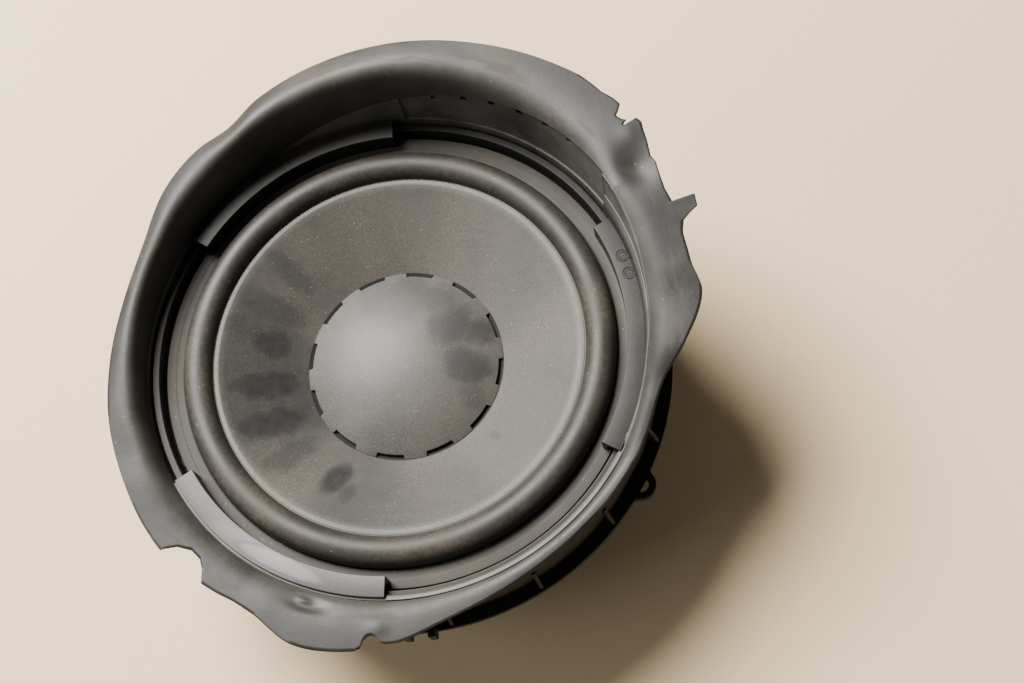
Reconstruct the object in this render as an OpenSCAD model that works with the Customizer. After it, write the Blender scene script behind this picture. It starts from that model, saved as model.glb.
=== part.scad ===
// Car door subwoofer: a 200 mm class woofer held in a moulded adapter ring that carries a flared soft sealing lip.
// Origin: centre of the mounting-hole circle, on the rear face of the flange. +Z points out of the front of the cone.
// Every piece is a separate solid. Angles are degrees round +Z from +X.

/* [Adapter ring] */
// Outer radius of the mounting flange
flange_r = 111.4; // [110:0.1:114]
// Thickness of the mounting flange
flange_t = 3; // [2.5:0.1:4]
// Radius of the circle through the mounting holes
hole_circle_r = 110.5; // [109.5:0.1:112]
// Radius of each mounting hole
hole_r = 3.3; // [2.5:0.1:3.5]
// Outer radius of the outer wall
wall_r = 106; // [105:0.1:107]
// Height of the low side of the outer wall above the mounting face
wall_low = 31; // [30.5:0.5:33]
// Inner radius of the ring that centres the woofer
guide_r = 99.1; // [98.6:0.1:99.4]
// Height of the three hold-down arcs above the mounting face
arc_top = 33; // [31:0.5:34]
// Angle that each hold-down arc covers
arc_span = 57.8; // [40:0.1:62]

/* [Sealing lip] */
// Thickness of the lip where it leaves the wall
lip_root_t = 2.7; // [2:0.1:3]
// Thickness of the lip at its free edge
lip_edge_t = 1.5; // [1.2:0.1:2]

/* [Driver] */
// Outer radius of the cone
cone_r = 77; // [75:0.5:78]
// Height of the cone's outer edge above the mounting face
cone_edge_z = 26; // [25:0.5:27]
// Slope of the cone
cone_slope = 29; // [26:0.5:30]
// Outer radius of the dust cap
cap_r = 41.5; // [36:0.5:44]
// Height of the dust cap's dome
cap_rise = 9; // [6:0.5:11]
// Number of tabs that hold the dust cap's edge
cap_tabs = 12; // [6:1:16]
// Outer radius of the basket's rim
basket_r = 97.8; // [97:0.1:98]
// Number of basket spokes
spokes = 6; // [4:1:8]

/* [Motor] */
// Inner radius of the voice coil former
coil_r = 25; // [24.5:0.1:25.5]
// Height of the copper winding
winding_h = 14; // [10:0.5:16]
// Outer radius of the ferrite magnet
magnet_r = 55; // [50:0.5:58]
// Thickness of the ferrite magnet
magnet_t = 18; // [16:0.5:22]
// Outer radius of the steel plates
plate_r = 50; // [46:0.5:52]
// Thickness of the steel plates
plate_t = 6; // [5:0.5:7]

/* [Hidden] */
$fn = 96;
// Small offset that keeps joined faces from lying on each other
skin = 0.05;

// Adapter ring
guide_t = 2.8;
guide_top = 29;
wall_t = 2.7;
ear_r = 6.2;
ear_web = 14;
ear_angles = [90, 210, 330];
arc_angles = [0, 120, 240];
arc_in_r = 94.1;
arc_out_r = 102.2;
arc_plate_t = 2.5;
press_t = 2.2;
press_gap = 0.1;
hook_nose = 2.6;
hook_drop = 7;
hook_flat = 1.5;
hook_count = 6;
hook_span = 7;
window_from = 31.5;
window_to = 88;
window_depth = 0.8;
anchor_holes = 6;
anchor_from = 43.5;
anchor_pitch = 7.2;
anchor_size = 3;
anchor_drop = 1.2;
rib_count = 18;
rib_t = 1.6;
rib_h = 14;
hook_from = 30;
slit_w = 1.2;
tab_angles = [271, 276];
tab_reach = 3;
tab_w = 3.2;
tab_rise = 5;
seal_groove_r = 104.2;
seal_w = 3;
seal_groove_d = 1.5;

// The high side of the wall is cut by two tilted planes: [direction of the rise, height on the axis, rise at wall_r]
wall_cuts = [[26, 35, 28], [56, 28, 40]];

// Basket, front ring and soft suspension
rim_z = [17, 22];
rim_in_r = 87.6;
gasket_t = 1.3;
gasket_top = 24;
basket_t = 2.5;
floor_z = [-21, -18];
pot_r = 59.5;
// Radii of the basket's slanted wall: [inner face at its foot, inner face at its top, outer face at its top]
slant_r = [57, 86.5, 89.5];
// Radii of the open windows in that wall
window_r = [61, 86];
pot_slot_trim = 8;
// Ribs on the spokes, thick in mm, out to this radius
spoke_rib_t = 2.5;
spoke_rib_r = 93;
ledge_z = [-12, -10];
ledge_in_r = 49;
floor_in_r = 28;
window_span = 40;
glue_gap = 0.3;
cone_t = 0.8;
roll_r = 6.15;
roll_t = 1;
roll_mid_r = cone_r + 0.35 + roll_r;
neck_z = -8;
cap_t = 0.7;
cap_slot_from = 21.8;
cap_slot_share = 0.573;
cap_slot_d = 1.8;
cone_drop = cone_t / cos(cone_slope);
former_t = 0.5;
winding_t = 0.8;
former_z = [-33, -3];
spider_in_r = coil_r + former_t + glue_gap;
spider_wave = 1.4;
spider_waves = 5;
spider_t = 0.7;

// Motor
top_plate_z = floor_z[0] - plate_t;
magnet_z = top_plate_z - magnet_t;
back_z = magnet_z - plate_t;
gap_r = 27;
sleeve_t = 0.4;
pole_r = coil_r - 1;
vent_r = 8;
screen_r = 11;
screen_t = 0.6;
screw_circle_r = 40;
screw_r = 2;
screw_clearance = 0.15;
screw_count = 4;
screw_head_r = 3.8;
screw_head_h = 2.2;
winding_mid = top_plate_z + plate_t / 2;

// Terminals: the block sits outside the basket on the spoke that points to -Y
block_w = 24;
block_z = [-18, -3.5];
block_y = [-88, -62];
socket_depth = 13;
shell_t = 1.6;
blade_x = [-5, 5];
blade_w = [6.3, 4.8];
blade_t = 0.8;
blade_z = -9.5;
blade_l = 27.6;
tag_w = 3;
tag_h = 4.5;
lead_r = 0.9;

// The lip's free edge: [angle, radius, height]
LIP_EDGE = [
  [-14, 110.5, 46], [-7, 117, 53], [2, 124, 57], [8, 121.5, 60], [24, 122, 65], [36, 127.5, 67], [43, 127.5, 67.5],
  [55.5, 124.8, 68], [69, 122.2, 68], [85.9, 119.9, 66.5], [103.4, 118.6, 62], [118, 117.2, 57], [125.2, 114.5, 55],
  [134.4, 117.3, 52], [144.6, 116.6, 50], [156.6, 112.4, 47.5], [168.6, 112.2, 45.5], [181.5, 114.4, 44],
  [194.4, 116.8, 43], [207.4, 118.5, 41.5], [220, 120.5, 39.5], [232, 118.5, 38.5], [244, 119, 38],
  [253, 124.5, 37], [262, 123.5, 36], [272, 119.5, 35], [281, 114, 34.5], [290, 111, 34], [300, 109, 33.5],
  [312, 108.2, 33.5], [326, 109, 34.5], [335, 109.6, 38]];
// Sharp features of the free edge: [angle, half width, reach]; a positive reach is a fin, a negative one a notch
LIP_MARKS = [[18, 3, 8.5], [38, 3, -4.5], [227, 3.5, -7], [267, 2.6, -5]];
// How far the lip's section rolls over: [angle, share]; 0 is a straight flare and 1 a quarter turn
LIP_ROLL = [[-14, 0.4], [12, 0.4], [26, 0.5], [45, 0.6], [75, 0.8], [95, 1], [205, 1], [222, 0.6], [240, 0.35],
  [255, 0.5], [290, 0.5], [346, 0.4]];
lip_gap = 0.2;
lip_steps = 180;
lip_bands = 6;

// ---- helpers ----

module ring(r_in, r_out, z) {
  translate([0, 0, z[0]]) difference() {
    cylinder(r = r_out, h = z[1] - z[0]);
    translate([0, 0, -1]) cylinder(r = r_in, h = z[1] - z[0] + 2);
  }
}

module arc(centre, span, points) {
  rotate([0, 0, centre - span / 2]) rotate_extrude(angle = span) polygon(points);
}

function box_points(r_in, r_out, z0, z1) = [[r_in, z0], [r_out, z0], [r_out, z1], [r_in, z1]];

// Height of the tilted cuts at the outer wall
function cut_height(a) = min([for (c = wall_cuts) c[1] + c[2] * cos(a - c[0])]);

// ---- adapter ring ----

module tilted_top(cut) {
  rotate([0, 0, cut[0]]) translate([0, 0, cut[1]]) rotate([0, -atan(cut[2] / wall_r), 0])
    translate([-200, -200, 0]) cube([400, 400, 200]);
}

// Flange, guide ring and outer wall in one section
module adapter_body() {
  rotate_extrude() polygon([[guide_r, 0], [flange_r, 0], [flange_r, flange_t], [wall_r, flange_t], [wall_r, wall_low],
    [wall_r - wall_t, wall_low], [wall_r - wall_t, flange_t], [guide_r + guide_t, flange_t],
    [guide_r + guide_t, guide_top], [guide_r, guide_top]]);
}

module high_wall() {
  difference() {
    ring(wall_r - wall_t + skin, wall_r - skin, [wall_low - 1, 80]);
    for (cut = wall_cuts) tilted_top(cut);
    arc((window_from + window_to) / 2, window_to - window_from,
      box_points(wall_r - wall_t - 1, wall_r - wall_t + window_depth, wall_low + 0.5, 81));
    for (i = [0 : anchor_holes - 1]) {
      a = anchor_from + i * anchor_pitch;
      rotate([0, 0, a]) translate([wall_r - 5, -anchor_size / 2, cut_height(a) - anchor_size - anchor_drop])
        cube([10, anchor_size, anchor_size]);
    }
  }
}

module hold_down_arc(a) {
  arc(a, arc_span, [[arc_in_r, gasket_top + press_gap], [arc_in_r + press_t, gasket_top + press_gap],
    [arc_in_r + press_t, arc_top - arc_plate_t], [guide_r + skin, arc_top - arc_plate_t],
    [guide_r + skin, guide_top - 2], [guide_r + guide_t - skin, guide_top - 2],
    [guide_r + guide_t - skin, arc_top - arc_plate_t], [arc_out_r, arc_top - arc_plate_t], [arc_out_r, arc_top],
    [arc_in_r, arc_top]]);
}

module ear(a) {
  rotate([0, 0, a]) {
    translate([hole_circle_r, 0, 0]) cylinder(r = ear_r, h = flange_t + 1);
    linear_extrude(flange_t - skin) polygon([[wall_r, -ear_web], [hole_circle_r + 2, -ear_r + 0.4],
      [hole_circle_r + 2, ear_r - 0.4], [wall_r, ear_web]]);
  }
}

module flange_rib(a) {
  rotate([0, 0, a]) translate([0, rib_t / 2, 0]) rotate([90, 0, 0]) linear_extrude(rib_t)
    polygon([[wall_r - 1, flange_t - 1], [flange_r - 1, flange_t - 1], [flange_r - 1, flange_t + 1],
      [wall_r + 0.8, flange_t + rib_h], [wall_r - 1, flange_t + rib_h]]);
}

module snap_hook(a) {
  arc(a, hook_span, [[guide_r + 1, rim_z[0] - press_gap], [guide_r - hook_nose, rim_z[0] - press_gap],
    [guide_r - hook_nose, rim_z[0] - hook_flat], [guide_r - skin, rim_z[0] - hook_drop],
    [guide_r + 1, rim_z[0] - hook_drop]]);
}

// The slits on each side of a snap hook let it flex
module hook_slits(a) {
  for (side = [-1, 1]) rotate([0, 0, a + side * (hook_span / 2 + 0.7)])
    translate([guide_r - 1, -slit_w / 2, flange_t + 0.5]) cube([guide_t + 2, slit_w, rim_z[0] + 2 - flange_t]);
}

module flange_tab(a) {
  rotate([0, 0, a]) translate([flange_r - 1, -tab_w / 2, 0.5]) cube([tab_reach + 1, tab_w, flange_t + tab_rise]);
}

module adapter_ring() {
  color("#26262a") difference() {
    union() {
      adapter_body();
      high_wall();
      for (a = arc_angles) hold_down_arc(a);
      for (a = ear_angles) ear(a);
      for (i = [0 : rib_count - 1]) flange_rib(i * 360 / rib_count);
      for (i = [0 : hook_count - 1]) snap_hook(hook_from + i * 360 / hook_count);
      for (a = tab_angles) flange_tab(a);
    }
    for (i = [0 : hook_count - 1]) hook_slits(hook_from + i * 360 / hook_count);
    for (a = ear_angles) rotate([0, 0, a]) translate([hole_circle_r, 0, -1]) cylinder(r = hole_r, h = flange_t + 3);
    ring(seal_groove_r, seal_groove_r + seal_w, [-1, seal_groove_d]);
  }
}

module flange_seal() {
  color("#3a3a3c") rotate_extrude() polygon([[seal_groove_r + 0.1, seal_groove_d - 0.1],
    [seal_groove_r + 0.1, 0], [seal_groove_r + 0.7, -0.8], [seal_groove_r + seal_w - 0.7, -0.8],
    [seal_groove_r + seal_w - 0.1, 0], [seal_groove_r + seal_w - 0.1, seal_groove_d - 0.1]]);
}

// ---- sealing lip ----

function wrap(a) = a - 360 * floor((a + 14) / 360);
lip_radii = [for (p = LIP_EDGE) [p[0], p[1]], [346, LIP_EDGE[0][1]]];
lip_heights = [for (p = LIP_EDGE) [p[0], p[2]], [346, LIP_EDGE[0][2]]];
function smooth(a, table) = (lookup(wrap(a - 4), table) + 2 * lookup(wrap(a - 2), table) + 2 * lookup(wrap(a), table)
  + 2 * lookup(wrap(a + 2), table) + lookup(wrap(a + 4), table)) / 8;
function mark(a, m) = m[2] * max(0, 1 - abs(wrap(a) - m[0]) / m[1]);
function sum(v, i = 0) = i < len(v) ? v[i] + sum(v, i + 1) : 0;
function edge_r(a) = smooth(a, lip_radii) + sum([for (m = LIP_MARKS) mark(a, m)]);
function edge_z(a) = smooth(a, lip_heights);
function rim_height(a) = max(wall_low, cut_height(a));

// One section of the lip: a curve that leaves the wall upright, rolls over and droops a little at the free edge
function lip_curve(a, t, side) =
  let (
    r0 = wall_r - wall_t / 2,
    z0 = rim_height(a) + lip_gap,
    r1 = edge_r(a) - 0.5,
    z1 = edge_z(a) - lip_edge_t / 2,
    rise = z1 - z0,
    run_out = r1 - r0,
    roll = lookup(wrap(a), LIP_ROLL),
    path = [[r0, z0], [r0 + 0.3 * (1 - roll) * run_out, z0 + rise * (0.36 + 0.79 * roll)],
      [r1 - (0.36 + 0.39 * roll) * run_out, z1 - rise * (0.3 - 0.6 * roll)], [r1, z1]],
    u = 1 - t,
    thick = (lip_root_t + (lip_edge_t - lip_root_t) * t) / 2,
    run = u * u * (path[1] - path[0]) + 2 * u * t * (path[2] - path[1]) + t * t * (path[3] - path[2]),
    n = run / max(norm(run), 0.01),
    at = u * u * u * path[0] + 3 * u * u * t * path[1] + 3 * u * t * t * path[2] + t * t * t * path[3]
  ) [at[0] - side * thick * n[1], at[1] + side * thick * n[0]];

function lip_section(a) = concat(
  [for (i = [0 : lip_bands]) lip_curve(a, i / lip_bands, 1)],
  [for (i = [lip_bands : -1 : 0]) lip_curve(a, i / lip_bands, -1)]);

module sealing_lip() {
  per = 2 * (lip_bands + 1);
  points = [for (i = [0 : lip_steps - 1]) let (a = i * 360 / lip_steps)
    for (p = lip_section(a)) [p[0] * cos(a), p[0] * sin(a), p[1]]];
  faces = [for (i = [0 : lip_steps - 1], j = [0 : per - 1])
    let (i2 = (i + 1) % lip_steps, j2 = (j + 1) % per)
    for (f = [[i * per + j, i * per + j2, i2 * per + j2], [i * per + j, i2 * per + j2, i2 * per + j]]) f];
  color("#333336") polyhedron(points, faces, convexity = 8);
}

// ---- basket and front ring ----

module basket_shell() {
  rotate_extrude() polygon([[rim_in_r, rim_z[1]], [rim_in_r, rim_z[0]], [slant_r[1], rim_z[0] - 2],
    [slant_r[0], ledge_z[1]], [ledge_in_r, ledge_z[1]], [ledge_in_r, ledge_z[0]], [pot_r - basket_t, ledge_z[0]],
    [pot_r - basket_t, floor_z[1]], [floor_in_r, floor_z[1]], [floor_in_r, floor_z[0]], [pot_r, floor_z[0]],
    [pot_r, ledge_z[1] - 1], [slant_r[2], rim_z[0]], [basket_r, rim_z[0]], [basket_r, rim_z[1]]]);
}

module basket() {
  color("#2d2d30") difference() {
    union() {
      basket_shell();
      for (i = [0 : spokes - 1]) rotate([0, 0, 30 + i * 360 / spokes]) translate([0, spoke_rib_t / 2, 0])
        rotate([90, 0, 0]) linear_extrude(spoke_rib_t)
          polygon([[pot_r - 1, floor_z[0]], [pot_r + 4, floor_z[0] + 4], [spoke_rib_r, rim_z[0] - 3],
            [spoke_rib_r, rim_z[0] + 1], [slant_r[2] - 1, rim_z[0] + 1], [pot_r - 1, ledge_z[1]]]);
    }
    for (i = [0 : spokes - 1]) rotate([0, 0, i * 360 / spokes]) {
      arc(0, window_span, box_points(window_r[0], window_r[1], ledge_z[1] + 0.5, rim_z[0] - 3));
      arc(0, window_span - pot_slot_trim, box_points(pot_r - 4, pot_r + 2, floor_z[1] + 1, ledge_z[0] - 1));
    }
    for (i = [0 : screw_count - 1]) rotate([0, 0, 45 + i * 360 / screw_count])
      translate([screw_circle_r, 0, floor_z[0] - 1]) cylinder(r = screw_r + screw_clearance, h = 6);
    translate([-10, -70, blade_z - 0.3]) cube([20, 16, 7]);
    translate([-block_w / 2 - 0.2, -95, block_z[0] - 5]) cube([block_w + 0.4, 33.2, block_z[1] - block_z[0] + 5.2]);
  }
}

module front_gasket() {
  color("#5a564f") ring(89.9, basket_r - 0.2, [gasket_top - gasket_t, gasket_top]);
}

// ---- suspension ----

module surround() {
  inner_z = cone_edge_z - cone_t - glue_gap;
  steps = 20;
  color("#1f1f21") rotate_extrude() polygon(concat(
    [[cone_r - 1.6, inner_z - 0.7], [cone_r - 1.6, inner_z], [roll_mid_r - roll_r, inner_z]],
    [for (i = [0 : steps]) let (a = 180 - i * 180 / steps)
      [roll_mid_r + roll_r * cos(a), cone_edge_z - 0.6 + (roll_r - 0.2) * sin(a)]],
    [[roll_mid_r + roll_r, rim_z[1] + 0.6], [basket_r - 1.5, rim_z[1] + 0.6], [basket_r - 1.5, rim_z[1] + 0.05],
      [roll_mid_r + roll_r - 2, rim_z[1] + 0.05], [roll_mid_r + roll_r - roll_t, rim_z[1] + 1]],
    [for (i = [0 : steps]) let (a = i * 180 / steps)
      [roll_mid_r + (roll_r - roll_t) * cos(a), cone_edge_z - 0.6 + (roll_r - 0.2 - roll_t) * sin(a)]],
    [[roll_mid_r - roll_r + roll_t, inner_z - 0.7]]));
}

module spider() {
  in_r = spider_in_r + 1.5;
  out_r = ledge_in_r - 0.7;
  mid_z = ledge_z[1] + spider_t / 2 + 0.05;
  steps = 60;
  line = concat([[spider_in_r, mid_z]],
    [for (i = [0 : steps]) let (t = i / steps)
      [in_r + t * (out_r - in_r), mid_z + spider_wave * sin(360 * spider_waves * t)]],
    [[pot_r - basket_t - 0.2, mid_z]]);
  color("#b08a4c") rotate_extrude() polygon(concat(
    [for (p = line) [p[0], p[1] + spider_t / 2]],
    [for (i = [len(line) - 1 : -1 : 0]) [line[i][0], line[i][1] - spider_t / 2]]));
}

// ---- moving parts ----

function cone_z(r) = cone_edge_z - (cone_r - 2 - r) * tan(cone_slope);

module cone() {
  in_r = coil_r + former_t + 0.05;
  color("#3b3b3d") rotate_extrude() polygon([[in_r, neck_z], [in_r + 1, neck_z],
    [in_r + 1, cone_z(in_r + 1) - cone_drop], [cone_r - 2, cone_edge_z - cone_drop],
    [cone_r - 1.8, cone_edge_z - cone_t], [cone_r, cone_edge_z - cone_t], [cone_r, cone_edge_z],
    [cone_r - 2, cone_edge_z], [in_r, cone_z(in_r)]]);
}

module dust_cap() {
  base_z = cone_z(cap_r) + skin;
  steps = 16;
  dome_r = (cap_r * cap_r + cap_rise * cap_rise) / (2 * cap_rise);
  color("#4a4a4b") difference() {
    rotate_extrude() polygon(concat(
      [for (i = [0 : steps]) let (r = cap_r * i / steps)
        [r, base_z + cap_rise - dome_r + sqrt(dome_r * dome_r - r * r)]],
      [for (i = [steps : -1 : 0]) let (r = (cap_r - 0.3) * i / steps)
        [r, base_z + cap_rise - cap_t - dome_r + sqrt(dome_r * dome_r - r * r) + (i == steps ? cap_t - 0.1 : 0)]]));
    for (i = [0 : cap_tabs - 1]) arc(cap_slot_from + i * 360 / cap_tabs, cap_slot_share * 360 / cap_tabs,
      box_points(cap_r - cap_slot_d, cap_r + 1, base_z - 4, base_z + 4));
  }
}

module voice_coil_former() {
  color("#c9a24a") ring(coil_r, coil_r + former_t, former_z);
}

module coil_winding() {
  color("#b06a35") ring(coil_r + former_t, coil_r + former_t + winding_t,
    [winding_mid - winding_h / 2, winding_mid + winding_h / 2]);
}

// Where the flexible leads meet the cone, in the frame of the part
lead_x = 5;
lead_cone_y = -36;
eyelet_r = 1.6;
eyelet_t = 1.5;
eyelet_z = cone_z(norm([lead_x, lead_cone_y])) - cone_drop - 2 * skin;

module lead_eyelets() {
  color("#c0a050") for (side = [-1, 1]) translate([side * lead_x, lead_cone_y, eyelet_z])
    rotate([-cone_slope, 0, 0]) translate([0, 0, -eyelet_t]) cylinder(r = eyelet_r, h = eyelet_t, $fn = 24);
}

// ---- motor ----

module top_plate() {
  color("#9a9a98") difference() {
    ring(gap_r, plate_r, [top_plate_z, floor_z[0]]);
    for (i = [0 : screw_count - 1]) rotate([0, 0, 45 + i * 360 / screw_count])
      translate([screw_circle_r, 0, top_plate_z + 1]) cylinder(r = screw_r + screw_clearance / 2, h = plate_t);
  }
}

module magnet() {
  color("#2b2a2a") ring(pole_r + 6, magnet_r, [magnet_z, top_plate_z]);
}

module yoke() {
  color("#8c8c8a") difference() {
    union() {
      translate([0, 0, back_z]) cylinder(r = plate_r, h = plate_t);
      translate([0, 0, back_z]) cylinder(r = pole_r, h = floor_z[0] - back_z);
    }
    translate([0, 0, back_z - 1]) cylinder(r = vent_r, h = 60);
    translate([0, 0, back_z - 1]) cylinder(r = screen_r, h = 2);
  }
}

module shorting_ring() {
  color("#b87333") ring(pole_r, pole_r + sleeve_t, [top_plate_z - 4, floor_z[0]]);
}

module vent_screen() {
  color("#707070") translate([0, 0, back_z + 0.3]) cylinder(r = screen_r - 0.1, h = screen_t);
}

module motor_screws() {
  color("#c8c8c6") for (i = [0 : screw_count - 1]) rotate([0, 0, 45 + i * 360 / screw_count])
    translate([screw_circle_r, 0, 0]) {
      translate([0, 0, floor_z[1]]) cylinder(r = screw_head_r, h = screw_head_h);
      translate([0, 0, top_plate_z + 1.5]) cylinder(r = screw_r, h = floor_z[1] - top_plate_z - 1);
    }
}

// ---- terminals ----

module terminal_block() {
  color("#202022") difference() {
    translate([-block_w / 2, 0, 0]) rotate([90, 0, 90]) linear_extrude(block_w)
      polygon([[block_y[0], block_z[0]], [block_y[1], block_z[0]], [block_y[1], block_z[1] - 6.5],
        [block_y[1] - 7, block_z[1]], [block_y[0], block_z[1]]]);
    translate([-block_w / 2 + shell_t, block_y[0] - 1, block_z[0] + shell_t])
      cube([block_w - 2 * shell_t, socket_depth + 1, block_z[1] - block_z[0] - 2 * shell_t]);
    for (i = [0, 1]) translate([blade_x[i] - blade_w[i] / 2 - 0.1, block_y[0], blade_z - 0.1])
      cube([blade_w[i] + 0.2, 40, blade_t + 0.2]);
  }
}

module terminal_blades() {
  color("#d8cfa8") for (i = [0, 1]) translate([blade_x[i] - blade_w[i] / 2, block_y[0] + 3, blade_z]) {
    cube([blade_w[i], blade_l, blade_t]);
    translate([(blade_w[i] - tag_w) / 2, blade_l - blade_t, 0]) cube([tag_w, blade_t, tag_h]);
  }
}

// Route of one flexible lead: the terminal's tag, a slack loop, the eyelet under the cone
LEAD = [[-57.8, -4.6], [-57.4, -3.2], [-56, -2.2], [-54, -2], [-51.5, -2.6], [-49, -3.4], [-46.5, -3.8], [-44, -3.6],
  [-41.6, -2.8], [-39.6, -1.6], [-38.2, -0.4], [-37, 1.6]];

module tube(path, r, sides) {
  last = len(path) - 1;
  rings = [for (i = [0 : last])
    let (d = path[min(i + 1, last)] - path[max(i - 1, 0)], t = d / norm(d), up = [1, 0, 0], n = cross(t, up))
    for (j = [0 : sides - 1]) path[i] + r * (cos(j * 360 / sides) * up + sin(j * 360 / sides) * n)];
  side_faces = [for (i = [0 : last - 1], j = [0 : sides - 1]) let (k = (j + 1) % sides)
    for (f = [[i * sides + j, i * sides + k, (i + 1) * sides + k],
      [i * sides + j, (i + 1) * sides + k, (i + 1) * sides + j]]) f];
  ends = [[for (j = [sides - 1 : -1 : 0]) j], [for (j = [0 : sides - 1]) last * sides + j]];
  polyhedron(rings, concat(side_faces, ends));
}

module tinsel_leads() {
  color("#9c6b3c") for (side = [-1, 1]) tube([for (p = LEAD) [side * lead_x, p[0], p[1]]], lead_r, 8);
}

adapter_ring();
sealing_lip();
flange_seal();
basket();
front_gasket();
surround();
cone();
dust_cap();
voice_coil_former();
coil_winding();
lead_eyelets();
spider();
top_plate();
magnet();
yoke();
shorting_ring();
vent_screen();
motor_screws();
terminal_block();
terminal_blades();
tinsel_leads();
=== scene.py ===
# %% [markdown]
# A car door woofer, dressed for a studio picture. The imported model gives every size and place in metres, +Z
# out of the front of the cone. Each visible piece is built again in that same frame, with rounded edges and
# fine shapes, and gets a finish made of nodes.

# %% Load the frame
from math import atan, cos, pi, radians, sin, sqrt, tan

import bmesh
import bpy
import numpy as np
from mathutils import Matrix, Vector


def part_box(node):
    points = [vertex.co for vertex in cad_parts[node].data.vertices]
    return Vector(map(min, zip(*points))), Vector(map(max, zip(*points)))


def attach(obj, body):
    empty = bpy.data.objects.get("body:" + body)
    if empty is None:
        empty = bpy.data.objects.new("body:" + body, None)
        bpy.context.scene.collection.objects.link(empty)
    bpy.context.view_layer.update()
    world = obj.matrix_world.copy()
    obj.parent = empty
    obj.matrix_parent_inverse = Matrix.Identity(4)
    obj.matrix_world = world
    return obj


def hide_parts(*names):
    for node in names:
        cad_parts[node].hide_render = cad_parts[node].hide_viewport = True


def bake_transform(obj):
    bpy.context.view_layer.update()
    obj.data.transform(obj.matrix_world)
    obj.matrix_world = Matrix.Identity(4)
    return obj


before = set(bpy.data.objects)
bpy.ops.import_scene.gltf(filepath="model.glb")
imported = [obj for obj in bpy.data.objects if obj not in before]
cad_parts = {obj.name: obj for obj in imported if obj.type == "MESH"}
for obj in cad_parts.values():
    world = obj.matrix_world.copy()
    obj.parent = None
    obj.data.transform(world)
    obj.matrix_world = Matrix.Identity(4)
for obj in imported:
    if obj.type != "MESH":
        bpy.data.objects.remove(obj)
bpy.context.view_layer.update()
MM = 0.001
TAU = 2 * pi


def shown(obj):
    """Puts an object into the scene."""
    bpy.context.scene.collection.objects.link(obj)
    return obj

# %% [markdown]
# The woofer is seen from above and a little from its low side, so the high side of the collar opens towards
# the lens. A lens of about 49 mm keeps the rings as round as the eye expects them.

# %% Camera
EYE = Vector((112.2, -198.9, 550.8)) * MM
LOOK = Vector((-0.1147, 0.3529, -0.929)).normalized()
LENS_UP = Vector((0.0584, 0.9352, 0.349))
LENS = 49.2


def aim(direction, up):
    """A turn that points -Z along direction and +Y towards up."""
    right = direction.cross(up).normalized()
    return Matrix((right, right.cross(direction), -direction)).transposed().to_4x4()


camera_data = bpy.data.cameras.new("camera")
camera_data.lens = LENS
camera_data.sensor_width = 36
camera = shown(bpy.data.objects.new("camera", camera_data))
camera.matrix_world = Matrix.Translation(EYE) @ aim(LOOK, LENS_UP)
bpy.context.scene.camera = camera
print("camera height above the flange", round(EYE.z, 3), "m")

# %% [markdown]
# A finish is a small network of nodes. Sums are easier to read than links made by hand, so one class wraps
# a socket and turns +, -, * and / into Math nodes. A second class holds a material and makes any other
# node. Colours go through Mix nodes, because a Math node would turn them grey.

# %% Shader sums
class Value:
    """One socket of a material, used as a number."""

    def __init__(self, finish, socket):
        self.finish, self.socket = finish, socket

    def op(self, operation, *others):
        return self.finish.maths(operation, self, *others)

    def __add__(self, other): return self.op("ADD", other)
    def __radd__(self, other): return self.op("ADD", other)
    def __sub__(self, other): return self.op("SUBTRACT", other)
    def __rsub__(self, other): return self.finish.maths("SUBTRACT", other, self)
    def __mul__(self, other): return self.op("MULTIPLY", other)
    def __rmul__(self, other): return self.op("MULTIPLY", other)
    def __truediv__(self, other): return self.op("DIVIDE", other)
    def __rtruediv__(self, other): return self.finish.maths("DIVIDE", other, self)


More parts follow.
